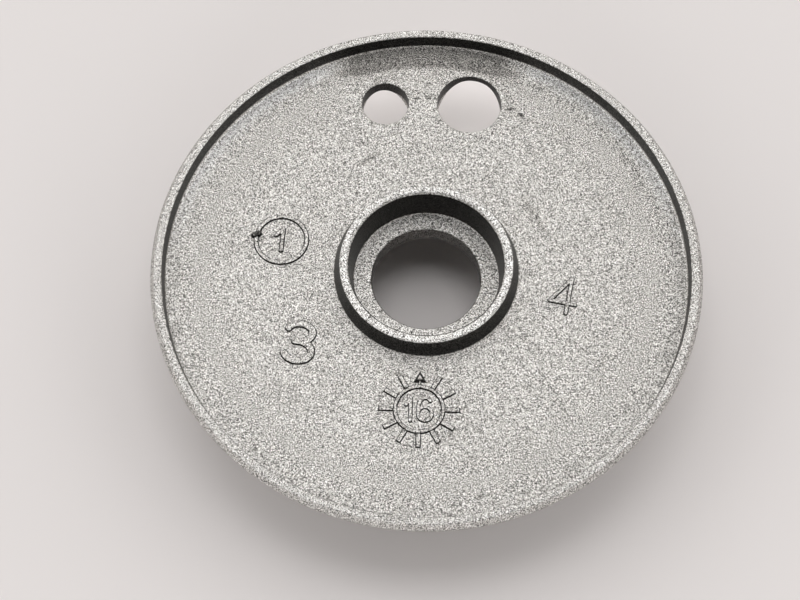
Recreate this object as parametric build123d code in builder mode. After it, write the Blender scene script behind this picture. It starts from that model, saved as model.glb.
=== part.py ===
from build123d import *
from math import cos, radians, sin, tan
import os

# Burner cap of a gas hob: one aluminium casting, lying underside up on the face of its flame ring.
# Millimetres. +Z points out of the underside that shows. The origin is the centre of the flame
# ring's face. +Y runs midway between the electrode hole and the thermocouple hole.

os.makedirs("parts", exist_ok=True)

# Heights
rim_height = 18.2  # inner edge of the rim above the flame ring's face
rim_depth = 2.8  # rim's inner edge down to the floor of the dish
boss_rise = 0.55  # crest of the boss above the rim's inner edge
socket_depth = 6.0  # crest of the boss down to the ledge
bore_length = 3.4  # ledge down to the nose of the hub
lip_fall = 0.05  # rim's inner edge down to the lip's shoulder
lip_drop = 1.25  # rim's inner edge down to the lip's widest line
floor_fall = 0.2  # slope of the floor's outer zone, from the flat disc to the foot of the rim

# Radii and widths in the dish
rim_radius = 43.2  # inner edge of the rim
rim_draft = 0.3  # how far the rim's inner wall leans in at its foot
lip_shoulder = 1.25  # width of the lip's flat part
lip_width = 2.05  # rim's inner edge out to the lip's widest line
disc_radius = 32.2  # flat middle of the floor
boss_flare = 1.05  # how far the boss widens towards its base
crest_width = 1.45  # rounded crest of the boss
socket_radius = 12.7  # mouth of the socket
socket_draft = 0.65  # how much narrower the socket is at its ledge
bore_radius = 9.0

# Walls and the hidden side
flange_thickness = 1.35  # outer zone of the flange
web_thickness = 4.0  # middle of the flange, which carries the flame ring
web_inset = 5.35  # rim's foot in to where the flange starts to thicken
web_slope = 37.0  # degrees
undercut_angle = 27.0  # degrees between the rim's outer wall and the vertical
ring_radius = 25.4  # flame ring, outside, at its face
ring_width = 4.0
ring_draft = 0.3  # how much wider each wall of the ring is at its root
hub_radius = 15.0  # nose of the hub
hub_flare = 2.4  # how far the hub widens towards its root

# Gas ports, cut across the flame ring's face
port_count = 28
port_width = 2.0
port_depth = 5.0

# Holes through the flange
hole_inset = 10.5  # rim's foot in to the holes' centres
hole_half_angle = 12.75  # degrees from +Y to each hole
electrode_hole_radius = 3.95
thermocouple_hole_radius = 5.4

# Flat pad round the two holes, and the facet that rises from it to the rim
pad_inset = 4.2  # rim's foot in to the pad's edge
pad_width = 30.0
pad_length = 12.0
facet_inset = 5.9  # rim's foot in to the facet's straight edge
facet_tilt = 3.5  # degrees up towards the rim

# Bevelled corners
crest_mouth_bevel = 0.5
crest_mouth_edge_bevel = 0.2  # second bevel, along both edges of the first
crest_bevel = 0.25
shoulder_bevel = 0.2
lip_bevel = 0.2
rim_bevel = 0.25
foot_bevel = 0.4
boss_bevel = 0.4
socket_bevel = 0.3
flange_bevel = 0.8
ring_root_bevel = 0.9
ring_bevel = 0.3
hub_bevel = 0.8
hole_bevel = 0.2

# Places that follow from those sizes
floor_z = rim_height - rim_depth
crest_z = rim_height + boss_rise
ledge_z = crest_z - socket_depth
nose_z = ledge_z - bore_length
flange_z = floor_z - flange_thickness
web_z = floor_z - web_thickness
crest_radius = socket_radius + crest_width
foot_radius = rim_radius - rim_draft
lip_radius = rim_radius + lip_width
flange_edge_radius = lip_radius - (rim_height - lip_drop - flange_z) * tan(radians(undercut_angle))
web_radius = foot_radius - web_inset
web_shoulder_radius = web_radius - (flange_z - web_z) / tan(radians(web_slope))
ring_bore_radius = ring_radius - ring_width
hole_pitch_radius = foot_radius - hole_inset
pad_radius = foot_radius - pad_inset
facet_chord = foot_radius - facet_inset

# Corners of the casting's section: radius and height
nose_mouth = (bore_radius, nose_z)
ledge_mouth = (bore_radius, ledge_z)
socket_foot = (socket_radius - socket_draft, ledge_z)
crest_inside = (socket_radius, crest_z)
crest_outside = (crest_radius, crest_z)
boss_foot = (crest_radius + boss_flare, floor_z)
disc_edge = (disc_radius, floor_z)
rim_foot = (foot_radius, floor_z - floor_fall)
rim_edge = (rim_radius, rim_height)
lip_top = (rim_radius + lip_shoulder, rim_height - lip_fall)
lip_edge = (lip_radius, rim_height - lip_drop)
flange_edge = (flange_edge_radius, flange_z)
web_edge = (web_radius, flange_z)
web_shoulder = (web_shoulder_radius, web_z)
ring_root = (ring_radius + ring_draft, web_z)
ring_edge = (ring_radius, 0)
ring_bore_edge = (ring_bore_radius, 0)
ring_bore_root = (ring_bore_radius - ring_draft, web_z)
hub_root = (hub_radius + hub_flare, web_z)
hub_edge = (hub_radius, nose_z)

bevelled_corners = (
    (socket_foot, socket_bevel),
    (crest_inside, crest_mouth_bevel),
    (crest_outside, crest_bevel),
    (boss_foot, boss_bevel),
    (rim_foot, foot_bevel),
    (rim_edge, rim_bevel),
    (lip_top, shoulder_bevel),
    (lip_edge, lip_bevel),
    (flange_edge, flange_bevel),
    (ring_root, ring_root_bevel),
    (ring_edge, ring_bevel),
    (ring_bore_edge, ring_bevel),
    (ring_bore_root, ring_root_bevel),
    (hub_edge, hub_bevel),
)

# Facet: the wedge that fills the dish between the pad and the rim
facet_root_z = floor_z - flange_thickness / 2
facet_start_z = floor_z - floor_fall * (pad_radius - disc_radius) / (foot_radius - disc_radius)
facet_end_z = facet_start_z + (rim_radius - facet_chord) * tan(radians(facet_tilt))

with BuildPart() as facet:
    with BuildSketch(Plane.YZ) as wedge:
        with BuildLine():
            Polyline(
                (facet_chord, facet_root_z),
                (rim_radius, facet_root_z),
                (rim_radius, facet_end_z),
                (facet_chord, facet_start_z),
                close=True,
            )
        make_face()
    extrude(amount=rim_radius, both=True)
    with BuildSketch(Plane.XY) as bounds:
        Circle(rim_radius)
        Circle(pad_radius, mode=Mode.SUBTRACT)
    extrude(amount=rim_height, mode=Mode.INTERSECT)

# Burner cap
with BuildPart() as burner_cap:
    with BuildSketch(Plane.XZ) as section:
        with BuildLine():
            Polyline(
                nose_mouth,
                ledge_mouth,
                socket_foot,
                crest_inside,
                crest_outside,
                boss_foot,
                disc_edge,
                rim_foot,
                rim_edge,
                lip_top,
                lip_edge,
                flange_edge,
                web_edge,
                web_shoulder,
                ring_root,
                ring_edge,
                ring_bore_edge,
                ring_bore_root,
                hub_root,
                hub_edge,
                close=True,
            )
        make_face()
        for corner, bevel in bevelled_corners:
            chamfer(section.vertices().sort_by_distance(corner)[0], length=bevel)
        chamfer(
            section.vertices().sort_by_distance(crest_inside)[0:2],
            length=crest_mouth_edge_bevel,
        )
    revolve(axis=Axis.Z)

    # Pad round the two holes, level with the flat disc
    with BuildSketch(Plane.XY.offset(floor_z)) as pad:
        with Locations((0, pad_radius - pad_length / 2)):
            Rectangle(pad_width, pad_length)
        Circle(pad_radius, mode=Mode.INTERSECT)
    extrude(amount=-flange_thickness / 2)
    add(facet.part)

    # Electrode hole on the left of +Y and thermocouple hole on its right
    for hole_radius, hole_angle in (
        (electrode_hole_radius, 90 + hole_half_angle),
        (thermocouple_hole_radius, 90 - hole_half_angle),
    ):
        hole_x = hole_pitch_radius * cos(radians(hole_angle))
        hole_y = hole_pitch_radius * sin(radians(hole_angle))
        with Locations((hole_x, hole_y, floor_z)):
            CounterSinkHole(hole_radius, hole_radius + hole_bevel, counter_sink_angle=90)

    # Gas ports
    with BuildSketch(Plane.XY) as ports:
        with PolarLocations(ring_radius - ring_width / 2, port_count, start_angle=90):
            Rectangle(2 * ring_width, port_width)
    extrude(amount=port_depth, mode=Mode.SUBTRACT)

burner_cap.part.label = "burner_cap"
export_step(burner_cap.part, "parts/burner_cap.step")
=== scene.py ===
import logging
import math
from dataclasses import dataclass, field
from enum import Enum
from typing import Iterable, NamedTuple, Sequence

import bmesh
import bpy
import numpy as np
from mathutils import Matrix, Vector


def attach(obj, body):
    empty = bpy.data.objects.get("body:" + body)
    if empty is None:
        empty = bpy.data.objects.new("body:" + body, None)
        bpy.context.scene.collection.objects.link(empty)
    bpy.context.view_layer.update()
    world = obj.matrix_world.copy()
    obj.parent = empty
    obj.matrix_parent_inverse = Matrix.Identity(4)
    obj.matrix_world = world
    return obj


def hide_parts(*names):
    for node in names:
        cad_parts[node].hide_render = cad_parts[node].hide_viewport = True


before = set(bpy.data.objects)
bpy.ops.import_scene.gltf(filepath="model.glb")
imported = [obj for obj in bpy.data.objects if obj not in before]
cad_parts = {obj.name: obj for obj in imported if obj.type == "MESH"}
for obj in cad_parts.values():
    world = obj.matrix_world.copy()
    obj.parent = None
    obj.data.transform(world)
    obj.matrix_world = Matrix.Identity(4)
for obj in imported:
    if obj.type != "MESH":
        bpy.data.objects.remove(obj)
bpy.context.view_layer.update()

MM = 0.001
FULL_TURN = 2.0 * math.pi
NODE = "burner_cap"
BODY = "root"
WELD_DISTANCE = 0.0002 * MM

Point = tuple[float, float]
Colour = tuple[float, float, float]
Tree = bpy.types.NodeTree
Socket = bpy.types.NodeSocket
Mesh = bpy.types.Mesh
Material = bpy.types.Material
Object = bpy.types.Object

log = logging.getLogger("burner_cap")


# Shared mesh helpers


def polar(radius: float, degrees: float) -> Point:
    """Return the point at a radius and an angle, anticlockwise from +X."""
    return radius * math.cos(math.radians(degrees)), radius * math.sin(math.radians(degrees))


def direction(azimuth: float, elevation: float) -> tuple[float, float, float]:
    """Return the unit vector that points at an azimuth and an elevation in degrees."""
    level, height = polar(1.0, elevation)
    return (*polar(level, azimuth), height)


def arc(centre: Point, half_size: Point, start: float, end: float, steps: int) -> list[Point]:
    """Return points along an arc of an ellipse, from one angle in degrees to another."""
    turns = [polar(1.0, start + (end - start) * step / steps) for step in range(steps + 1)]
    return [(centre[0] + half_size[0] * x, centre[1] + half_size[1] * y) for x, y in turns]


def moved(point: Point, centre: Point, turn: float = 0.0) -> Point:
    """Turn a point anticlockwise round the origin and move the origin to a centre."""
    cos, sin = polar(1.0, turn)
    return centre[0] + point[0] * cos - point[1] * sin, centre[1] + point[0] * sin + point[1] * cos


def full_circle(centre: Point, radius: float, steps: int = 72) -> list[Point]:
    """Return the points of a closed circle."""
    return arc(centre, (radius, radius), 0.0, 360.0, steps)


def new_object(name: str, data: bpy.types.ID) -> Object:
    """Put a mesh, a lamp or a camera into the scene.

    Args:
        name: Name of the object and its data.
        data: The mesh, lamp or camera.

    Returns:
        The new object, at the origin.
    """
    data.name = name
    item = bpy.data.objects.new(name, data)
    bpy.context.scene.collection.objects.link(item)
    return item


def mesh_from(vertices: Sequence[Sequence[float]], faces: Sequence[Sequence[int]]) -> Mesh:
    """Build a mesh from millimetre vertices.

    Args:
        vertices: Points in millimetres.
        faces: Vertex numbers of each face.

    Returns:
        The mesh, in metres.
    """
    mesh = bpy.data.meshes.new("shape")
    mesh.from_pydata([[value * MM for value in vertex] for vertex in vertices], [], faces)
    mesh.update()
    return mesh


def lathe(outline: Sequence[Point], segments: int, centre: Point = (0.0, 0.0)) -> Mesh:
    """Turn a closed outline round a vertical axis.

    Args:
        outline: Radius and height of each point, anticlockwise with the radius to the right.
        segments: Number of steps round the axis.
        centre: Where the axis stands.

    Returns:
        The closed mesh, faces outwards.
    """
    count = len(outline)
    vertices = []
    for segment in range(segments):
        x, y = math.cos(FULL_TURN * segment / segments), math.sin(FULL_TURN * segment / segments)
        for radius, height in outline:
            vertices.append((centre[0] + radius * x, centre[1] + radius * y, height))
    faces = []
    for segment in range(segments):
        here = segment * count
        there = (segment + 1) % segments * count
        for index in range(count):
            after = (index + 1) % count
            faces.append((here + index, there + index, there + after, here + after))
    mesh = mesh_from(vertices, faces)
    face_outwards(mesh)
    return mesh


def face_outwards(mesh: Mesh) -> None:
    """Merge doubled vertices and turn every face outwards.

    Args:
        mesh: A closed mesh.
    """
    work = bmesh.new()
    work.from_mesh(mesh)
    bmesh.ops.remove_doubles(work, verts=work.verts, dist=WELD_DISTANCE)
    bmesh.ops.recalc_face_normals(work, faces=work.faces)
    work.to_mesh(mesh)
    work.free()


def evaluated_mesh(item: Object) -> Mesh:
    """Return an object's mesh with its modifiers in it."""
    depsgraph = bpy.context.evaluated_depsgraph_get()
    return bpy.data.meshes.new_from_object(item.evaluated_get(depsgraph))


def joined_mesh(meshes: Iterable[Mesh]) -> Mesh:
    """Join meshes.

    Args:
        meshes: The meshes.

    Returns:
        One new mesh.
    """
    work = bmesh.new()
    for mesh in meshes:
        work.from_mesh(mesh)
    joined = bpy.data.meshes.new("shape")
    work.to_mesh(joined)
    work.free()
    return joined


def dress(mesh: Mesh, material: Material, sharp_angle: float) -> None:
    """Shade a mesh smoothly and give it its finish.

    Args:
        mesh: The mesh.
        material: The finish.
        sharp_angle: Degrees from which an edge stays sharp.
    """
    mesh.shade_smooth()
    mesh.set_sharp_from_angle(angle=math.radians(sharp_angle))
    mesh.materials.clear()
    mesh.materials.append(material)


def smooth_step(value: np.ndarray) -> np.ndarray:
    """Ease values from 0 to 1 with level ends."""
    bounded = np.clip(value, 0.0, 1.0)
    return bounded * bounded * (3.0 - 2.0 * bounded)


# Node trees


class Nodes:
    """Adds nodes to one tree."""

    def __init__(self, tree: Tree) -> None:
        """Start on a tree."""
        self.tree = tree

    def fill(self, node: bpy.types.Node, *values: object, **inputs: object) -> None:
        """Set or link a node's inputs.

        Args:
            node: The node.
            values: Values or sockets for its first inputs.
            inputs: Values or sockets by the input's name.
        """
        named = [(node.inputs[name.replace("_", " ")], value) for name, value in inputs.items()]
        for socket, value in [*zip(node.inputs, values), *named]:
            if isinstance(value, Socket):
                self.tree.links.new(value, socket)
            else:
                socket.default_value = value

    def add(self, kind: str, *values: object, **inputs: object) -> bpy.types.Node:
        """Add a node.

        Args:
            kind: The node's type.
            values: As in fill.
            inputs: As in fill. Names that begin with set_ are properties of the node.

        Returns:
            The node.
        """
        node = self.tree.nodes.new(kind)
        for name in [name for name in inputs if name.startswith("set_")]:
            setattr(node, name.removeprefix("set_"), inputs.pop(name))
        self.fill(node, *values, **inputs)
        return node

    def math(self, operation: str, *values: object) -> Socket:
        """Add a Math node with numbers or sockets and return its output."""
        return self.add("ShaderNodeMath", *values, set_operation=operation).outputs[0]

    def times(self, first: object, second: object) -> Socket:
        """Return first times second."""
        return self.math("MULTIPLY", first, second)

    def times_plus(self, first: object, second: object, third: object) -> Socket:
        """Return first times second plus third."""
        return self.math("MULTIPLY_ADD", first, second, third)

    def minus(self, first: object, second: object) -> Socket:
        """Return first minus second."""
        return self.math("SUBTRACT", first, second)

    def vector(self, operation: str, *values: object) -> bpy.types.Node:
        """Add a Vector Math node with vectors or sockets."""
        return self.add("ShaderNodeVectorMath", *values, set_operation=operation)

    def combined(self, *values: object) -> Socket:
        """Return a vector from its X, Y and Z."""
        return self.add("ShaderNodeCombineXYZ", *values).outputs[0]

    def flattened(self, place: Socket) -> Socket:
        """Return a place with its height taken out."""
        return self.vector("MULTIPLY", place, (1.0, 1.0, 0.0)).outputs[0]

    def length(self, vector: Socket) -> Socket:
        """Return a vector's length."""
        return self.vector("LENGTH", vector).outputs["Value"]

    def parts(self, vector: Socket) -> bpy.types.NodeOutputs:
        """Return a vector's X, Y and Z."""
        return self.add("ShaderNodeSeparateXYZ", Vector=vector).outputs

    def noise(self, **inputs: object) -> Socket:
        """Add a noise and return its value."""
        return self.add("ShaderNodeTexNoise", **inputs).outputs[0]

    def mix(self, share: Socket, first: object, second: object) -> Socket:
        """Return the first value where the share is 0 and the second where it is 1."""
        return self.add("ShaderNodeMix", Factor=share, A=first, B=second).outputs[0]

    def ramp(self, value: Socket, start: object, end: object, **more: object) -> Socket:
        """Return 0 where a value is at start and 1 where it is at end, eased in between."""
        more = {"set_interpolation_type": "SMOOTHSTEP", "From_Min": start, "From_Max": end, **more}
        return self.add("ShaderNodeMapRange", Value=value, **more).outputs[0]

    def edge(self, value: Socket, place: Socket, softness: Socket, **more: object) -> Socket:
        """Return 0 below a place and 1 above it, with the softness to each side."""
        low, high = self.minus(place, softness), self.math("ADD", place, softness)
        return self.ramp(value, low, high, **more)

    def toned(self, tone: object, mask: Socket, factor: float) -> Socket:
        """Multiply a tone by a factor where a mask is 1."""
        return self.times(tone, self.times_plus(mask, factor - 1.0, 1.0))

    def mask(self, group: Tree, **inputs: object) -> Socket:
        """Add a group and return its mask."""
        return self.add("ShaderNodeGroup", set_node_tree=group, **inputs).outputs["Mask"]


class GroupNodes(Nodes):
    """Builds one shader node group with named sockets."""

    def __init__(self, name: str, inputs: dict[str, float | None]) -> None:
        """Start a group.

        Args:
            name: Name of the group.
            inputs: Each input's name and its default, or None for a vector.
        """
        super().__init__(bpy.data.node_groups.new(name, "ShaderNodeTree"))
        self.given = self.tree.nodes.new("NodeGroupInput").outputs
        self.end = self.tree.nodes.new("NodeGroupOutput")
        for label, value in inputs.items():
            kind = "NodeSocketVector" if value is None else "NodeSocketFloat"
            socket = self.tree.interface.new_socket(label, in_out="INPUT", socket_type=kind)
            if value is not None:
                socket.default_value = value

    def gives(self, name: str, source: Socket) -> None:
        """Add an output and link it to its source."""
        self.tree.interface.new_socket(name, in_out="OUTPUT", socket_type="NodeSocketFloat")
        self.tree.links.new(source, self.end.inputs[name])


class MaterialNodes(Nodes):
    """Builds one material."""

    def __init__(self, name: str) -> None:
        """Start a material.

        Args:
            name: Name of the material.
        """
        self.material = bpy.data.materials.new(name)
        self.material.use_nodes = True
        super().__init__(self.material.node_tree)
        self.shader = self.tree.nodes["Principled BSDF"]
        self.place = self.add("ShaderNodeTexCoord").outputs["Object"]

    def colour(self, colour: Colour, tone: Socket) -> Socket:
        """Return a colour times a tone."""
        scaled = self.add("ShaderNodeVectorMath", colour, set_operation="SCALE", Scale=tone)
        return scaled.outputs[0]


# Shader groups


def grain_group() -> Tree:
    """Build the shot-blasted grain: a fine speckle and its relief.

    Returns:
        The group. Tone runs round 0 and Height round 0.5.
    """
    nodes = GroupNodes("blasted_grain", {
        "Vector": None, "Scale": 11500.0, "Coarse Ratio": 0.42, "Coarse Share": 0.35, "Gain": 4.0,
    })
    given = nodes.given
    coarse_scale = nodes.times(given["Scale"], given["Coarse Ratio"])
    place = given["Vector"]
    fine = nodes.noise(Vector=place, Scale=given["Scale"], Detail=2.0, Roughness=0.62)
    coarse = nodes.noise(Vector=place, Scale=coarse_scale, Detail=1.0)
    height = nodes.mix(given["Coarse Share"], fine, coarse)
    centred = nodes.minus(height, 0.5)
    nodes.gives("Tone", nodes.times(centred, given["Gain"]))
    nodes.gives("Height", height)
    return nodes.tree


def band_group() -> Tree:
    """Build a mask for a band round the object's axis.

    Returns:
        The group. Mask is 1 between the radii Inner and Outer, all round where Side is 0, and only
        on the half towards +Y where it is 1 or towards -Y where it is -1.
    """
    nodes = GroupNodes("round_band", {
        "Vector": None, "Inner": 0.0, "Outer": 1.0, "Softness": 0.0005,
        "Side": 0.0, "Side Softness": 0.6,
    })
    given = nodes.given
    flat = nodes.flattened(given["Vector"])
    radius = nodes.length(flat)
    inner = nodes.edge(radius, given["Inner"], given["Softness"])
    outer = nodes.edge(radius, given["Outer"], given["Softness"])
    band = nodes.minus(inner, outer)
    along = nodes.math("DIVIDE", nodes.parts(flat)["Y"], radius)
    sideways = nodes.times(along, given["Side"])
    half = nodes.ramp(sideways, 0.0, given["Side Softness"])
    all_round = nodes.minus(1.0, nodes.math("ABSOLUTE", given["Side"]))
    share = nodes.math("MAXIMUM", half, all_round)
    nodes.gives("Mask", nodes.times(band, share))
    return nodes.tree


def patch_group() -> Tree:
    """Build a mask for one soft oval patch, such as a stain, scuff or speck.

    Returns:
        The group. Mask is 1 in the middle of the patch and breaks up towards its edge.
    """
    nodes = GroupNodes("oval_patch", {
        "Vector": None, "Centre": None, "Turn": None, "Half Size": None,
        "Raggedness": 0.5, "Ragged Scale": 900.0, "Ragged Reach": 4.0, "Core": 0.35,
    })
    given = nodes.given
    moved = nodes.vector("SUBTRACT", nodes.flattened(given["Vector"]), given["Centre"])
    turned = nodes.add(
        "ShaderNodeVectorRotate", set_rotation_type="EULER_XYZ",
        Vector=moved.outputs[0], Rotation=given["Turn"],
    )
    scaled = nodes.vector("DIVIDE", turned.outputs[0], given["Half Size"])
    noise = nodes.noise(Vector=given["Vector"], Scale=given["Ragged Scale"], Detail=3.0)
    centred = nodes.minus(noise, 0.5)
    wobble = nodes.times(centred, given["Raggedness"])
    distance = nodes.length(scaled.outputs[0])
    ragged = nodes.times_plus(wobble, given["Ragged Reach"], distance)
    nodes.gives("Mask", nodes.ramp(ragged, 1.0, given["Core"]))
    return nodes.tree


def facet_group() -> Tree:
    """Build a mask for the painted shade on the facet between the pad and the rim.

    Returns:
        The group. Mask is 1 past the straight edge Chord, between the radii Inner and Outer and
        within Half Width of the middle.
    """
    nodes = GroupNodes("facet_zone", {
        "Vector": None, "Chord": 0.037, "Inner": 0.0387, "Outer": 0.043, "Softness": 0.0006,
        "Half Width": 0.016, "Side Softness": 0.004,
    })
    given = nodes.given
    radius = nodes.length(nodes.flattened(given["Vector"]))
    parts = nodes.parts(given["Vector"])
    across = nodes.math("ABSOLUTE", parts["X"])
    past_chord = nodes.edge(parts["Y"], given["Chord"], given["Softness"])
    past_inner = nodes.edge(radius, given["Inner"], given["Softness"])
    past_outer = nodes.edge(radius, given["Outer"], given["Softness"])
    past_side = nodes.edge(across, given["Half Width"], given["Side Softness"])
    mask = nodes.times(past_chord, past_inner)
    for past in (past_outer, past_side):
        mask = nodes.times(mask, nodes.minus(1.0, past))
    nodes.gives("Mask", mask)
    return nodes.tree


def steep_group() -> Tree:
    """Build a mask for painted shade on the walls inside the dish, from the lean of the surface.

    Returns:
        The group. Mask is 0 on level faces and 1 on upright ones.
    """
    nodes = GroupNodes("steep_wall", {
        "From": 0.75, "To": 0.35, "Lowest": 0.0128, "Outermost": 0.0433,
        "Rim Radius": 0.04, "Rim Foot": 0.01565, "Foot Softness": 0.0002,
    })
    given = nodes.given
    coordinates = nodes.add("ShaderNodeTexCoord").outputs
    place = coordinates["Object"]
    height = nodes.parts(place)["Z"]
    radius = nodes.length(nodes.flattened(place))
    at_rim = nodes.math("GREATER_THAN", radius, given["Rim Radius"])
    lowest = nodes.mix(at_rim, given["Lowest"], given["Rim Foot"])
    softness = given["Foot Softness"]
    above = nodes.edge(height, lowest, softness, set_interpolation_type="LINEAR")
    within = nodes.math("LESS_THAN", radius, given["Outermost"])
    inside = nodes.times(above, within)
    upward = nodes.math("ABSOLUTE", nodes.parts(coordinates["Normal"])["Z"])
    lean = nodes.ramp(upward, given["From"], given["To"])
    nodes.gives("Mask", nodes.times(lean, inside))
    return nodes.tree


@dataclass(frozen=True)
class Groups:
    """The shader groups that the finishes share."""

    grain: Tree
    band: Tree
    patch: Tree
    steep: Tree
    facet: Tree

    @classmethod
    def build(cls) -> "Groups":
        """Build every group once."""
        return cls(grain_group(), band_group(), patch_group(), steep_group(), facet_group())


# Finishes


@dataclass(frozen=True)
class Cloud:
    """A broad, faint change of tone: its scale, its lowest tone and how much more it reaches."""

    scale: float
    low: float
    gain: float
    detail: float

    def tone(self, nodes: MaterialNodes) -> Socket:
        """Add its nodes and return its tone."""
        noise = nodes.noise(Vector=nodes.place, Scale=self.scale, Detail=self.detail)
        return nodes.times_plus(noise, self.gain, self.low)


class Patch(NamedTuple):
    """One mark of wear: where it is, its half size and turn, and how it changes the tone."""

    centre: Point
    half_size: Point
    turn: float
    tone: float
    raggedness: float


class Band(NamedTuple):
    """One zone round the axis, the tone that multiplies the colour there, and the half it is on."""

    inner: float
    outer: float
    softness: float
    tone: float
    side: float = 0.0


# The marks of wear on the dish's floor, in millimetres and degrees
WEAR = (
    Patch((-24.6, -15.3), (0.6, 0.2), 20.0, 0.35, 0.1),
    Patch((-28.1, 6.6), (1.15, 0.8), 10.0, 0.14, 0.1),
    Patch((-9.9, 20.9), (3.6, 0.8), 32.0, 0.6, 0.3),
    Patch((17.0, 11.8), (3.4, 0.8), -66.0, 0.65, 0.4),
    Patch((18.8, 9.2), (2.8, 0.7), -66.0, 0.65, 0.4),
    Patch((-14.5, 12.0), (1.1, 0.45), 30.0, 0.7, 0.5),
    Patch((14.1, 30.7), (0.95, 0.4), 15.0, 0.25, 0.05),
    Patch((15.9, 29.6), (0.85, 0.5), -35.0, 0.15, 0.05),
    Patch((-1.9, 32.7), (0.8, 0.35), 5.0, 0.45, 0.1),
    Patch((0.1, 32.9), (1.0, 0.35), -25.0, 0.4, 0.1),
    Patch((14.0, -10.5), (0.4, 0.3), 0.0, 0.35, 0.1),
)

# The zones round the axis whose tone differs, in millimetres. Several are painted shade or painted
# light, as marked.
PAINTED_LIGHT_AND_TONE_BANDS = (
    Band(32.2, 42.9, 0.4, 0.96),
    # painted light: lighter floor by the rim's foot on the far half, against the rim wall's shade
    Band(41.0, 43.0, 0.9, 2.1, 1.0),
    # painted shade: dark line along the rim's inner edge on the near half
    Band(43.0, 43.3, 0.05, 0.4, -1.0),
    Band(13.0, 14.4, 0.15, 1.38),
    # painted shade: dark line along the crest's outer edge on the far half
    Band(14.08, 14.35, 0.04, 0.42, 1.0),
    # painted shade: dark line along the crest's inner edge on the near half
    Band(12.68, 12.9, 0.04, 0.3, -1.0),
    # painted shade: darker bore wall and mouth
    Band(8.6, 9.15, 0.05, 0.45),
    Band(43.5, 44.6, 0.15, 1.1),
)


@dataclass(frozen=True)
class BlastedAluminium:
    """Shot-blasted die-cast aluminium, matt with a fine sparkle.

    Lengths are in millimetres.
    """

    name: str = "blasted_aluminium"
    colour: Colour = (0.42, 0.406, 0.384)
    metallic: float = 1.0
    roughness: float = 0.42
    grain_scale: float = 11500.0
    grain_tone: float = 5.0
    grain_gloss: float = 0.10
    grain_depth: float = 0.05
    cloud: Cloud = Cloud(scale=130.0, low=0.95, gain=0.10, detail=3.0)
    wall_from: float = 0.75
    wall_to: float = 0.35
    # painted shade: how dark the upright walls inside the dish are painted
    wall_painted_shade: float = 0.08
    # painted shade: the tilted facet is real geometry, and its darker reflection is painted into
    # its colour
    facet_painted_shade: float = 0.42
    bands: tuple[Band, ...] = ()
    patches: tuple[Patch, ...] = WEAR

    def zone(self, nodes: MaterialNodes, groups: Groups) -> Socket:
        """Add the zones round the axis and the facet, several of which paint shade or light.

        Args:
            nodes: The material's nodes.
            groups: The shared shader groups.

        Returns:
            The tone that they give.
        """
        tone: object = 1.0
        for band in self.bands:
            mask = nodes.mask(
                groups.band, Vector=nodes.place, Inner=band.inner * MM, Outer=band.outer * MM,
                Softness=band.softness * MM, Side=band.side,
            )
            tone = nodes.toned(tone, mask, band.tone)
        # painted shade on the facet
        facet = nodes.mask(groups.facet, Vector=nodes.place)
        return nodes.mix(facet, tone, self.facet_painted_shade)

    def build(self, groups: Groups) -> Material:
        """Build the material.

        Args:
            groups: The shared shader groups.

        Returns:
            The material.
        """
        nodes = MaterialNodes(self.name)
        place = nodes.place
        grain = nodes.add(
            "ShaderNodeGroup", set_node_tree=groups.grain, Vector=place, Scale=self.grain_scale,
        ).outputs
        tone = nodes.times_plus(grain["Tone"], self.grain_tone, 1.0)
        tone = nodes.times(tone, self.cloud.tone(nodes))
        tone = nodes.times(tone, self.zone(nodes, groups))
        for patch in self.patches:
            mask = nodes.mask(
                groups.patch, Vector=place,
                Centre=(patch.centre[0] * MM, patch.centre[1] * MM, 0.0),
                Turn=(0.0, 0.0, math.radians(-patch.turn)),
                Half_Size=(patch.half_size[0] * MM, patch.half_size[1] * MM, 1.0),
                Raggedness=patch.raggedness,
            )
            tone = nodes.toned(tone, mask, patch.tone)
        # painted shade: upright walls inside the dish, and the steep sides of raised marks, are
        # darkened
        wall = nodes.mask(groups.steep, From=self.wall_from, To=self.wall_to)
        tone = nodes.math("MAXIMUM", nodes.toned(tone, wall, self.wall_painted_shade), 0.0)
        rough = nodes.times_plus(grain["Tone"], self.grain_gloss, self.roughness)
        bump = nodes.add(
            "ShaderNodeBump", Strength=1.0, Distance=self.grain_depth * MM, Height=grain["Height"],
        )
        nodes.fill(
            nodes.shader, Metallic=self.metallic, Base_Color=nodes.colour(self.colour, tone),
            Roughness=rough, Normal=bump.outputs[0],
        )
        return nodes.material


@dataclass(frozen=True)
class Tabletop:
    """Plain off-white table, painted a little lighter where the object stands as a pool of light.
    Lengths in metres.
    """

    name: str = "pale_table"
    colour: Colour = (0.80, 0.765, 0.757)
    roughness: float = 0.7
    specular: float = 0.2
    cloud: Cloud = Cloud(scale=9.0, low=0.99, gain=0.02, detail=2.0)
    light_pool_centre: tuple[float, float, float] = (0.0, 0.023, 0.0)
    light_pool_reach: float = 0.034
    light_pool_core: float = 0.023
    light_pool_gain: float = 0.22

    def build(self) -> Material:
        """Build the material.

        Returns:
            The material.
        """
        nodes = MaterialNodes(self.name)
        # painted light: a soft pool of light on the table round the object
        distance = nodes.vector("DISTANCE", nodes.place, self.light_pool_centre).outputs["Value"]
        light_pool = nodes.ramp(distance, self.light_pool_reach, self.light_pool_core)
        tone = nodes.toned(self.cloud.tone(nodes), light_pool, 1.0 + self.light_pool_gain)
        nodes.fill(
            nodes.shader, Roughness=self.roughness, Specular_IOR_Level=self.specular,
            Base_Color=nodes.colour(self.colour, tone),
        )
        return nodes.material


# Geometry Nodes


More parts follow.
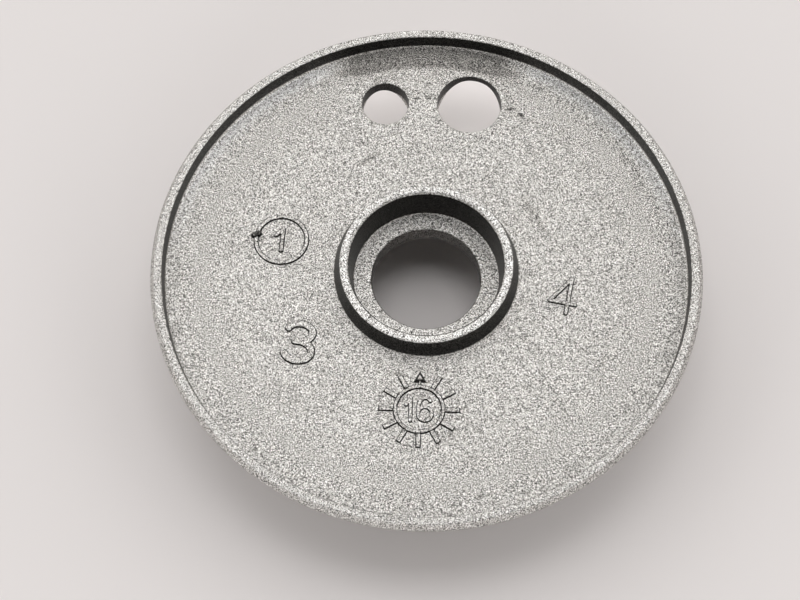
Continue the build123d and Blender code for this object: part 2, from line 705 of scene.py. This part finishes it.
def bar_ring_tree() -> Tree:
    """Build the tree that sets drafted bars round a circle.

    Returns:
        The tree, with the bars' number, sizes, height and material as inputs.
    """
    tree = bpy.data.node_groups.new("bars_round_a_circle", "GeometryNodeTree")
    nodes = Nodes(tree)
    for kind, names in (
        ("Int", ("Count", "Left Out")),
        ("Float", ("Radius", "Length", "Width", "Height", "Draft", "Middle Height", "Start Angle")),
        ("Material", ("Material",)),
    ):
        for name in names:
            tree.interface.new_socket(name, in_out="INPUT", socket_type=f"NodeSocket{kind}")
    tree.interface.new_socket("Geometry", in_out="OUTPUT", socket_type="NodeSocketGeometry")
    given = tree.nodes.new("NodeGroupInput").outputs
    index = nodes.add("GeometryNodeInputIndex").outputs[0]
    step = nodes.math("DIVIDE", FULL_TURN, given["Count"])
    angle = nodes.times_plus(index, step, given["Start Angle"])
    place_x = nodes.times(nodes.math("COSINE", angle), given["Radius"])
    place_y = nodes.times(nodes.math("SINE", angle), given["Radius"])
    place = nodes.combined(place_x, place_y, given["Middle Height"])
    points = nodes.add("GeometryNodePoints", Count=given["Count"], Position=place)
    size = nodes.combined(given["Length"], given["Width"], given["Height"])
    bar = nodes.add("GeometryNodeMeshCube", Size=size)
    corner = nodes.parts(nodes.add("GeometryNodeInputPosition").outputs[0])
    upper = nodes.math("GREATER_THAN", corner["Z"], 0.0)
    pull = nodes.times(given["Draft"], -1.0)
    pull_x, pull_y = (
        nodes.times(nodes.math("SIGN", corner[axis]), pull) for axis in "XY"
    )
    drafted = nodes.add(
        "GeometryNodeSetPosition",
        Geometry=bar.outputs["Mesh"], Selection=upper, Offset=nodes.combined(pull_x, pull_y),
    )
    kept = nodes.add("FunctionNodeCompare", set_data_type="INT", set_operation="NOT_EQUAL")
    whole_numbers = [socket for socket in kept.inputs if socket.type == "INT"]
    tree.links.new(index, whole_numbers[0])
    tree.links.new(given["Left Out"], whole_numbers[1])
    rotation = nodes.add("FunctionNodeEulerToRotation", Euler=nodes.combined(0.0, 0.0, angle))
    bars = nodes.add(
        "GeometryNodeInstanceOnPoints", Points=points.outputs[0], Selection=kept.outputs[0],
        Instance=drafted.outputs[0], Rotation=rotation.outputs[0],
    )
    real = nodes.add("GeometryNodeRealizeInstances", Geometry=bars.outputs[0])
    dressed = nodes.add(
        "GeometryNodeSetMaterial", Geometry=real.outputs[0], Material=given["Material"],
    )
    tree.links.new(dressed.outputs[0], tree.nodes.new("NodeGroupOutput").inputs["Geometry"])
    return tree


@dataclass
class BarRing:
    """Bars set round a circle. Lengths are in millimetres, the angle in degrees."""

    count: int
    radius: float
    length: float
    width: float
    bottom: float
    top: float
    draft: float = 0.0
    start_angle: float = 0.0
    left_out: int = -1

    def mesh(self, tree: Tree, material: Material | None = None) -> Mesh:
        """Make the bars with Geometry Nodes.

        Args:
            tree: The tree that sets the bars.
            material: What the bars are dressed in.

        Returns:
            A plain mesh round the origin.
        """
        host = new_object("bars", bpy.data.meshes.new("bars"))
        modifier = host.modifiers.new("bars", "NODES")
        modifier.node_group = tree
        values = {
            "Count": self.count,
            "Radius": self.radius * MM,
            "Length": self.length * MM,
            "Width": self.width * MM,
            "Height": (self.top - self.bottom) * MM,
            "Draft": self.draft * MM,
            "Middle Height": (self.top + self.bottom) / 2 * MM,
            "Start Angle": math.radians(self.start_angle),
            "Left Out": self.left_out,
            "Material": material,
        }
        for socket in tree.interface.items_tree:
            if socket.in_out == "INPUT":
                modifier[socket.identifier] = values[socket.name]
        mesh = evaluated_mesh(host)
        host.modifiers.remove(modifier)
        bpy.data.objects.remove(host)
        return mesh


# The casting


class Corner(NamedTuple):
    """A corner of the casting's section."""

    radius: float
    height: float
    rounding: float
    divisions: int = 1  # straight pieces on the way to the next corner


@dataclass
class Hole:
    """A hole through the flange: its radius in millimetres and its angle from +X in degrees."""

    radius: float
    angle: float


@dataclass
class Casting:
    """The burner cap's one casting, lying underside up on its flame ring.

    Lengths are in millimetres and angles in degrees.
    """

    bars: Tree  # sets bars round a circle
    material: Material
    floor_z: float = 15.4
    rim_foot_z: float = 15.2
    rim_top_z: float = 18.2
    rim_radius: float = 43.2
    foot_radius: float = 42.9
    disc_radius: float = 32.2
    corners: tuple[Corner, ...] = (
        Corner(9.0, 9.35, 0.25, 2),
        Corner(9.0, 12.75, 0.3),
        Corner(12.05, 12.75, 0.35, 3),
        Corner(12.7, 18.75, 0.62),
        Corner(14.15, 18.75, 0.25, 2),
        Corner(15.2, 15.4, 0.5, 28),
        Corner(32.2, 15.4, 60.0, 26),
        Corner(42.9, 15.2, 0.4, 4),
        Corner(43.2, 18.2, 0.25),
        Corner(44.45, 18.15, 0.2),
        Corner(45.25, 16.95, 0.6),
        Corner(43.77, 14.05, 0.9, 3),
        Corner(37.55, 14.05, 1.0),
        Corner(34.03, 11.4, 1.0, 4),
        Corner(25.7, 11.4, 1.0, 3),
        Corner(25.4, 0.0, 0.3),
        Corner(21.4, 0.0, 0.3, 3),
        Corner(21.1, 11.4, 1.0),
        Corner(17.4, 11.4, 0.7),
        Corner(15.0, 9.35, 0.8),
    )
    rounding_steps: int = 5
    support: float = 0.08  # from the end of a rounding to the loop that keeps the flat flat
    segments: int = 360
    hole_pitch_radius: float = 32.4
    holes: tuple[Hole, ...] = (Hole(3.95, 102.75), Hole(5.4, 77.25))
    hole_rounding: float = 0.2
    hole_mouth_end: float = 100.0
    hole_mouth_steps: int = 5
    hole_flare: int = 4  # steps of the mouth that its last slope is drawn out by
    hole_depth: float = 8.0
    hole_segments: int = 96
    port_count: int = 28
    port_width: float = 2.0
    port_depth: float = 5.0
    ring_middle_radius: float = 23.4
    ring_width: float = 4.0
    pad_radius: float = 38.7
    pad_half_width: float = 15.0
    pad_start: float = 26.7
    chord: float = 37.0
    facet_tilt: float = 3.5
    facet_softness: float = 0.9
    floor_margin: float = 0.5  # below the rim's foot, and still shaped as floor
    rim_margin: float = 0.3  # below the rim's top, where the shaping has faded out
    sharp_angle: float = 34.0

    def outline(self) -> list[Point]:
        """Make the closed section with its roundings and support points.

        Returns:
            The radius and height of each point.
        """
        outline: list[Point] = []
        arcs = [self.rounded(index) for index in range(len(self.corners))]
        for corner, here, after in zip(self.corners, arcs, arcs[1:] + arcs[:1]):
            outline.extend(here)
            start, end = np.array(here[-1]), np.array(after[0])
            length = float(np.linalg.norm(end - start))
            shares = [step / corner.divisions for step in range(1, corner.divisions)]
            if length > 4 * self.support:
                shares = [self.support / length, *shares, 1.0 - self.support / length]
            outline.extend(tuple(start + (end - start) * share) for share in shares)
        return outline

    def rounded(self, index: int) -> list[Point]:
        """Return the points of one corner's rounding.

        Args:
            index: Number of the corner.

        Returns:
            Points along an arc that touches both sides of the corner.
        """
        corner = self.corners[index]
        place = np.array(corner[:2])
        before = np.array(self.corners[index - 1][:2]) - place
        after = np.array(self.corners[(index + 1) % len(self.corners)][:2]) - place
        before = before / np.linalg.norm(before)
        after = after / np.linalg.norm(after)
        opening = math.acos(float(np.clip(before @ after, -1.0, 1.0)))
        touch = corner.rounding / math.tan(opening / 2)
        middle = (before + after) / np.linalg.norm(before + after)
        centre = place + middle * corner.rounding / math.sin(opening / 2)
        first = place + before * touch - centre
        last = place + after * touch - centre
        start = math.degrees(math.atan2(first[1], first[0]))
        end = math.degrees(math.atan2(last[1], last[0]))
        sweep = (end - start + 180.0) % 360.0 - 180.0
        half_size = (corner.rounding, corner.rounding)
        return arc(tuple(centre.tolist()), half_size, start, start + sweep, self.rounding_steps)

    def shape_floor(self, mesh: Mesh) -> None:
        """Raise the pad round the holes and the facet between the pad and the rim.

        Args:
            mesh: The turned casting.
        """
        places = np.empty(len(mesh.vertices) * 3)
        mesh.vertices.foreach_get("co", places)
        places = places.reshape(-1, 3) / MM
        radius = np.hypot(places[:, 0], places[:, 1])
        slope = (self.floor_z - self.rim_foot_z) / (self.foot_radius - self.disc_radius)
        base = self.floor_z - slope * np.clip(radius - self.disc_radius, 0.0, None)
        high_enough = places[:, 2] > self.rim_foot_z - self.floor_margin
        in_dish = high_enough & (radius > self.pad_start) & (radius < self.rim_radius)
        soft = self.facet_softness
        sideways = smooth_step((self.pad_half_width - np.abs(places[:, 0])) / (2 * soft) + 0.5)
        onto_pad = sideways * smooth_step((places[:, 1] - self.pad_start) / (2 * soft) + 0.5)
        pad = (self.floor_z - base) * onto_pad
        past_pad = smooth_step((radius - self.pad_radius) / soft + 0.5)
        root_z = self.floor_z - slope * (self.pad_radius - self.disc_radius)
        beyond = places[:, 1] - self.chord
        run = soft / 4 * np.logaddexp(0.0, beyond * 4 / soft)
        rise = run * math.tan(math.radians(self.facet_tilt))
        facet = np.clip(root_z + rise - base, 0.0, None) * smooth_step(beyond / soft + 0.5)
        lift = pad * (1.0 - past_pad) + facet * past_pad
        fade_end = self.rim_top_z - self.rim_margin
        fade = np.clip((fade_end - places[:, 2]) / (fade_end - base), 0.0, 1.0)
        places[:, 2] += np.where(in_dish, lift * fade, 0.0)
        mesh.vertices.foreach_set("co", (places * MM).ravel())
        mesh.update()

    def hole_cutter(self, hole: Hole) -> Mesh:
        """Make the plug that cuts a hole with a rounded mouth.

        Args:
            hole: The hole.

        Returns:
            The plug.
        """
        bend = self.hole_rounding
        mouth = arc(
            (hole.radius + bend, self.floor_z - bend), (bend, bend),
            180.0, self.hole_mouth_end, self.hole_mouth_steps,
        )
        before, last = np.array(mouth[-2]), np.array(mouth[-1])
        flare = tuple((last + self.hole_flare * (last - before)).tolist())
        bottom = self.floor_z - self.hole_depth
        outline = [(0.0, bottom), (hole.radius, bottom), *mouth, flare, (0.0, flare[1])]
        return lathe(outline, self.hole_segments, polar(self.hole_pitch_radius, hole.angle))

    def build(self) -> Object:
        """Build the casting and put it in the CAD node's place.

        Returns:
            The dressed casting.
        """
        mesh = lathe(self.outline(), self.segments)
        self.shape_floor(mesh)
        casting = new_object("casting", mesh)
        ports = BarRing(
            self.port_count, self.ring_middle_radius, 2 * self.ring_width, self.port_width,
            -self.port_depth, self.port_depth, start_angle=90.0,
        )
        plugs = [ports.mesh(self.bars), *(self.hole_cutter(hole) for hole in self.holes)]
        cutter = new_object("cutters", joined_mesh(plugs))
        cut = casting.modifiers.new("cut", "BOOLEAN")
        cut.operation = "DIFFERENCE"
        cut.solver = "EXACT"
        cut.object = cutter
        finished = evaluated_mesh(casting)
        casting.modifiers.remove(cut)
        bpy.data.objects.remove(cutter)
        face_outwards(finished)
        dress(finished, self.material, self.sharp_angle)
        casting.data = finished
        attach(casting, BODY)
        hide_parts(NODE)
        return casting


# Raised marks


class Numeral(Enum):
    """The plain numbers that stand on the floor of the dish."""

    ONE = "1"
    THREE = "3"
    FOUR = "4"
    SIX = "6"

    def strokes(self) -> list[list[Point]]:
        """Draw the number's centre lines.

        Returns:
            Its strokes, in a box one wide and one tall round the origin.
        """
        if self is Numeral.ONE:
            return [[(0.5, -0.5), (0.5, 0.5), (-0.5, 0.2)]]
        if self is Numeral.THREE:
            return [
                arc((-0.03, 0.26), (0.46, 0.24), 160.0, -88.0, 20),
                arc((0.0, -0.24), (0.5, 0.26), 88.0, -160.0, 24),
                [(-0.16, 0.02), (0.02, 0.02)],
            ]
        if self is Numeral.FOUR:
            return [[(0.2, -0.5), (0.2, 0.5), (-0.5, -0.22), (0.5, -0.22)]]
        return [
            arc((0.0, -0.2), (0.5, 0.3), 0.0, 360.0, 32),
            [(-0.5, -0.2), *arc((0.02, 0.0), (0.52, 0.5), 180.0, 48.0, 16)],
        ]

    def placed(self, centre: Point, size: Point, turn: float) -> list[list[Point]]:
        """Put the strokes in their place.

        Args:
            centre: Middle of the number.
            size: Width and height of its centre lines.
            turn: Degrees anticlockwise.

        Returns:
            The strokes in millimetres.
        """
        return [
            [moved((x * size[0], y * size[1]), centre, turn) for x, y in stroke]
            for stroke in self.strokes()
        ]


@dataclass
class Relief:
    """Raised strokes with drafted sides, cast on the floor of the dish. Lengths in millimetres."""

    strokes: list[list[Point]]
    top_width: float
    height: float = 0.28
    side: float = 0.32
    sink: float = 0.12  # how far the sides reach below the floor
    foot: float = 0.05  # from there down to the flat bottom
    cell: float = 0.066

    def mesh(self, base: float) -> Mesh:
        """Make the strokes as one closed mesh.

        Args:
            base: Height of the floor they stand on.

        Returns:
            The mesh.
        """
        ends = np.array([(*a, *b) for stroke in self.strokes for a, b in zip(stroke, stroke[1:])])
        reach = self.top_width / 2 + self.side + 2 * self.cell
        low = np.minimum(ends[:, :2].min(0), ends[:, 2:].min(0)) - reach
        high = np.maximum(ends[:, :2].max(0), ends[:, 2:].max(0)) + reach
        columns, rows = (np.ceil((high - low) / self.cell).astype(int) + 1).tolist()
        grid_x, grid_y = np.meshgrid(
            low[0] + self.cell * np.arange(columns), low[1] + self.cell * np.arange(rows),
        )
        distance = np.full(grid_x.shape, np.inf)
        for x0, y0, x1, y1 in ends:
            along = np.array((x1 - x0, y1 - y0))
            share = ((grid_x - x0) * along[0] + (grid_y - y0) * along[1]) / float(along @ along)
            share = np.clip(share, 0.0, 1.0)
            gap = np.hypot(grid_x - x0 - share * along[0], grid_y - y0 - share * along[1])
            distance = np.minimum(distance, gap)
        fall = smooth_step((distance - self.top_width / 2) / self.side)
        heights = self.height - fall * (self.height + self.sink)
        inside = distance < self.top_width / 2 + self.side + self.cell
        cells = inside[:-1, :-1] & inside[1:, :-1] & inside[:-1, 1:] & inside[1:, 1:]
        surface = np.dstack((grid_x, grid_y, heights + base))
        return self.closed_mesh(surface, cells, base - self.sink - self.foot)

    @staticmethod
    def closed_mesh(surface: np.ndarray, cells: np.ndarray, bottom: float) -> Mesh:
        """Close a field of heights with a flat bottom and walls.

        Args:
            surface: The field's points, in rows.
            cells: Which cells between them are in the shape.
            bottom: Height of the flat bottom.

        Returns:
            The closed mesh.
        """
        rows, columns = cells.shape
        used = np.zeros(surface.shape[:2], bool)
        for down, right in ((0, 0), (0, 1), (1, 0), (1, 1)):
            used[down:down + rows, right:right + columns] |= cells
        numbers = np.cumsum(used).reshape(used.shape) - 1
        upper = surface[used]
        lower = np.column_stack((upper[:, :2], np.full(len(upper), bottom)))
        bordered = np.pad(cells, 1)
        faces = []
        for row, column in np.argwhere(cells).tolist():
            here, there = numbers[row].tolist(), numbers[row + 1].tolist()
            loop = [here[column], here[column + 1], there[column + 1], there[column]]
            faces.append(loop)
            faces.append([number + len(upper) for number in reversed(loop)])
            neighbours = ((0, 1), (1, 2), (2, 1), (1, 0))  # places in the bordered field, from here
            for side, (down, right) in enumerate(neighbours):
                if not bordered[row + down, column + right]:
                    first, second = loop[side], loop[(side + 1) % 4]
                    faces.append([first, first + len(upper), second + len(upper), second])
        return mesh_from([*upper.tolist(), *lower.tolist()], faces)


@dataclass(frozen=True)
class Number:
    """A plain number on the floor of the dish. Lengths in millimetres, turn in degrees."""

    name: str
    numeral: Numeral
    centre: Point
    size: Point
    turn: float
    top_width: float


@dataclass
class Marks:
    """Everything cast in relief on the floor of the dish.

    Lengths are in millimetres and angles in degrees. Places on the dial and by the ring are
    measured from their centres.
    """

    bars: Tree  # sets bars round a circle
    material: Material
    floor_z: float = 15.4
    sharp_angle: float = 50.0
    dial_centre: Point = (-0.985, -24.296)
    dial_turn: float = -1.2
    dial_ring_radius: float = 3.85
    dial_ring_width: float = 0.36
    digits: tuple[tuple[Numeral, float, float], ...] = (  # number, place across and width
        (Numeral.ONE, -1.75, 0.75), (Numeral.SIX, 0.95, 2.2),
    )
    digit_height: float = 3.9
    digit_top_width: float = 0.42
    digit_side: float = 0.24
    neck_end: float = 5.0
    neck_width: float = 0.2
    neck_side: float = 0.2
    spoke_count: int = 12
    spoke_left_out: int = 3
    spoke_start: float = 4.05
    spoke_end: float = 6.55
    spoke_overlap: float = 0.15
    spoke_width: float = 1.08
    spoke_height: float = 0.25
    spoke_draft: float = 0.26
    arrow_outline: tuple[Point, ...] = ((-1.25, 4.5), (1.25, 4.5), (0.0, 6.75))
    arrow_middle: Point = (0.0, 5.25)
    arrow_top_share: float = 0.34
    arrow_height: float = 0.55
    sink: float = 0.1
    thin_circle_radius: float = 6.5
    thin_circle_runs: tuple[Point, ...] = ((15, 60), (150, 175), (240, 265), (300, 325))
    thin_circle_steps: int = 24
    thin_width: float = 0.06
    thin_side: float = 0.12
    thin_height: float = 0.035
    thin_sink: float = 0.08
    ring_centre: Point = (-24.013, 5.614)
    ring_radius: float = 4.2
    ringed_place: Point = (-0.4, 0.0)
    ringed_size: Point = (1.1, 3.9)
    ringed_turn: float = -4.0
    ringed_width: float = 0.46
    lump: tuple[Point, Point] = ((-4.5, 0.85), (-3.85, 1.0))
    lump_width: float = 0.7
    lump_height: float = 0.55
    lump_side: float = 0.35
    numbers: tuple[Number, ...] = (
        Number("left_number", Numeral.THREE, (-20.506, -12.825), (4.48, 6.55), -8.4, 0.95),
        Number("right_number", Numeral.FOUR, (22.52, -4.085), (4.2, 6.38), -11.4, 0.4),
    )

    def finish(self, name: str, *reliefs: Relief, others: Sequence[Mesh] = ()) -> Object:
        """Join the shapes of one mark and hang it on the casting's body.

        Args:
            name: Name of the piece.
            reliefs: Its raised strokes.
            others: Its other meshes.

        Returns:
            The piece.
        """
        joined = joined_mesh([*(relief.mesh(self.floor_z) for relief in reliefs), *others])
        dress(joined, self.material, self.sharp_angle)
        piece = new_object(name, joined)
        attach(piece, BODY)
        return piece

    def arrow(self) -> Mesh:
        """Make the dial's arrowhead: a low pyramid with a small flat top.

        Returns:
            The mesh.
        """
        middle = self.arrow_middle
        vertices = []
        for share, height in ((1.0, -self.sink), (self.arrow_top_share, self.arrow_height)):
            for x, y in self.arrow_outline:
                spot = (middle[0] + (x - middle[0]) * share, middle[1] + (y - middle[1]) * share)
                place = moved(spot, self.dial_centre, self.dial_turn)
                vertices.append((*place, self.floor_z + height))
        faces = ((2, 1, 0), (3, 4, 5), (0, 1, 4, 3), (1, 2, 5, 4), (2, 0, 3, 5))
        return mesh_from(vertices, faces)

    def spokes(self) -> Mesh:
        """Make the dial's ticks.

        Returns:
            The mesh.
        """
        spokes = BarRing(
            self.spoke_count, (self.spoke_start + self.spoke_end) / 2,
            self.spoke_end - self.spoke_start + self.spoke_overlap, self.spoke_width,
            self.floor_z - self.sink, self.floor_z + self.spoke_height,
            draft=self.spoke_draft, start_angle=self.dial_turn, left_out=self.spoke_left_out,
        ).mesh(self.bars, self.material)
        spokes.transform(Matrix.Translation(Vector(self.dial_centre).to_3d() * MM))
        return spokes

    def dial(self) -> Object:
        """Build the date dial.

        Returns:
            The dial.
        """
        centre = self.dial_centre
        ring = Relief([full_circle(centre, self.dial_ring_radius)], self.dial_ring_width)
        strokes: list[list[Point]] = []
        for numeral, across, width in self.digits:
            place = (centre[0] + across, centre[1])
            strokes += numeral.placed(place, (width, self.digit_height), self.dial_turn)
        digits = Relief(strokes, self.digit_top_width, side=self.digit_side)
        neck_line = [
            moved((0.0, reach), centre, self.dial_turn)
            for reach in (self.dial_ring_radius, self.neck_end)
        ]
        neck = Relief([neck_line], self.neck_width, side=self.neck_side)
        half_size = (self.thin_circle_radius, self.thin_circle_radius)
        thin = [
            Relief(
                [arc(centre, half_size, *run, self.thin_circle_steps)], self.thin_width,
                side=self.thin_side, height=self.thin_height, sink=self.thin_sink,
            )
            for run in self.thin_circle_runs
        ]
        others = (self.spokes(), self.arrow())
        return self.finish("date_dial", ring, digits, neck, *thin, others=others)

    def ringed_number(self) -> Object:
        """Build the ring with a plain number in it and a lump of flash beside it.

        Returns:
            The piece.
        """
        place = moved(self.ringed_place, self.ring_centre)
        strokes = [
            full_circle(self.ring_centre, self.ring_radius),
            *Numeral.ONE.placed(place, self.ringed_size, self.ringed_turn),
        ]
        lump_line = [moved(point, self.ring_centre) for point in self.lump]
        lump = Relief([lump_line], self.lump_width, height=self.lump_height, side=self.lump_side)
        return self.finish("ringed_number", Relief(strokes, self.ringed_width), lump)

    def build(self) -> list[Object]:
        """Build every mark.

        Returns:
            The pieces.
        """
        pieces = [self.dial(), self.ringed_number()]
        for number in self.numbers:
            strokes = number.numeral.placed(number.centre, number.size, number.turn)
            pieces.append(self.finish(number.name, Relief(strokes, number.top_width)))
        return pieces


# Studio


@dataclass
class Camera:
    """The photograph's camera, fitted to the rim and the boss.

    Lengths are in millimetres and angles in degrees.
    """

    photo_width: float = 800.0
    focal_pixels: float = 2098.93
    sensor_width: float = 36.0
    elevation: float = 65.618
    roll: float = -1.0016
    turn: float = 1.57
    distance: float = 342.35
    aim_right: float = 4.39
    aim_up: float = 5.74
    aim_height: float = 18.2

    def build(self) -> Object:
        """Create the camera and make it the scene's.

        Returns:
            The camera.
        """
        axes = Matrix.Rotation(math.radians(90.0 - self.elevation), 4, "X")
        place = axes @ Vector((-self.aim_right, -self.aim_up, self.distance))
        place.z += self.aim_height
        data = bpy.data.cameras.new("photo_camera")
        data.sensor_width = self.sensor_width
        data.lens = self.focal_pixels * self.sensor_width / self.photo_width
        camera = new_object("photo_camera", data)
        turn, roll = (Matrix.Rotation(math.radians(a), 4, "Z") for a in (self.turn, self.roll))
        camera.matrix_world = turn @ Matrix.Translation(place * MM) @ axes @ roll
        bpy.context.scene.camera = camera
        return camera


class LampPlace(Enum):
    """Where a lamp stands: its azimuth from +X and its elevation, in degrees."""

    FAR = (89.0, 82.0)
    NEAR = (-89.0, 30.0)


@dataclass
class Lamp:
    """One soft panel lamp that looks at the object. Lengths in metres."""

    place: LampPlace
    width: float
    height: float
    brightness: float
    distance: float = 1.0
    colour: Colour = (1.0, 1.0, 1.0)

    def build(self) -> Object:
        """Create the lamp.

        Returns:
            The lamp.
        """
        away = Vector(direction(*self.place.value))
        name = f"{self.place.name.lower()}_lamp"
        data = bpy.data.lights.new(name, "AREA")
        data.shape = "RECTANGLE"
        data.size = self.width
        data.size_y = self.height
        data.energy = self.brightness * math.pi * self.width * self.height
        data.color = self.colour
        lamp = new_object(name, data)
        turned = away.to_track_quat("Z", "Y").to_matrix().to_4x4()
        lamp.matrix_world = Matrix.Translation(away * self.distance) @ turned
        return lamp


@dataclass
class SkyLight:
    """Soft light from all round, with a dark screen on one side. Angles in degrees."""

    colour: Colour = (1.0, 0.985, 0.97)
    level: float = 1.27
    screen_level: float = 0.03
    screen_azimuth: float = -88.4
    screen_elevation: float = 65.6
    screen_inner: float = 33.0
    screen_outer: float = 51.0

    def build(self) -> None:
        """Build the world."""
        world = bpy.data.worlds.new("studio_world")
        bpy.context.scene.world = world
        world.use_nodes = True
        nodes = Nodes(world.node_tree)
        screen = direction(self.screen_azimuth, self.screen_elevation)
        sky = nodes.add("ShaderNodeTexCoord").outputs["Generated"]
        nearness = nodes.vector("DOT_PRODUCT", sky, screen).outputs["Value"]
        outer, inner = (math.cos(math.radians(a)) for a in (self.screen_outer, self.screen_inner))
        level = nodes.ramp(nearness, outer, inner, To_Min=self.level, To_Max=self.screen_level)
        background = world.node_tree.nodes["Background"]
        nodes.fill(background, Color=(*self.colour, 1.0), Strength=level)


@dataclass
class Studio:
    """Pale table, soft light and camera. The radius is in metres, the step in degrees."""

    table_radius: float = 5.0
    table_step: int = 10
    sky: SkyLight = field(default_factory=SkyLight)
    lamps: list[Lamp] = field(default_factory=lambda: [
        Lamp(LampPlace.FAR, 0.6, 0.34, 2.9),
        Lamp(LampPlace.NEAR, 0.55, 0.24, 2.4),
    ])

    def build_table(self, finish: Tabletop) -> Object:
        """Build the table under the object.

        Args:
            finish: The table's finish.

        Returns:
            The table, marked as stage.
        """
        angles = range(0, 360, self.table_step)
        corners = [(*polar(self.table_radius / MM, angle), 0.0) for angle in angles]
        table = new_object("table", mesh_from(corners, [range(len(corners))]))
        table.data.materials.append(finish.build())
        return table

    def build(self) -> None:
        """Build the table, the light and the camera."""
        bpy.context.scene.view_settings.view_transform = "Standard"
        self.sky.build()
        self.build_table(Tabletop())
        for lamp in self.lamps:
            lamp.build()
        Camera().build()


def main() -> None:
    """Build every piece in order."""
    logging.basicConfig(level=logging.INFO, format="%(message)s")
    Studio().build()
    log.info("studio: table, lamps and camera")
    groups = Groups.build()
    bars = bar_ring_tree()
    blasted = BlastedAluminium(bands=PAINTED_LIGHT_AND_TONE_BANDS).build(groups)
    # the raised finish paints shade on the steep sides of the marks
    raised = BlastedAluminium("raised_aluminium", wall_from=0.97, wall_to=0.8, wall_painted_shade=0.05)
    raised_material = raised.build(groups)
    casting = Casting(bars, blasted).build()
    log.info("casting: %d faces", len(casting.data.polygons))
    for mark in Marks(bars, raised_material).build():
        log.info("%s: %d faces", mark.name, len(mark.data.polygons))


if __name__ == "__main__":
    main()
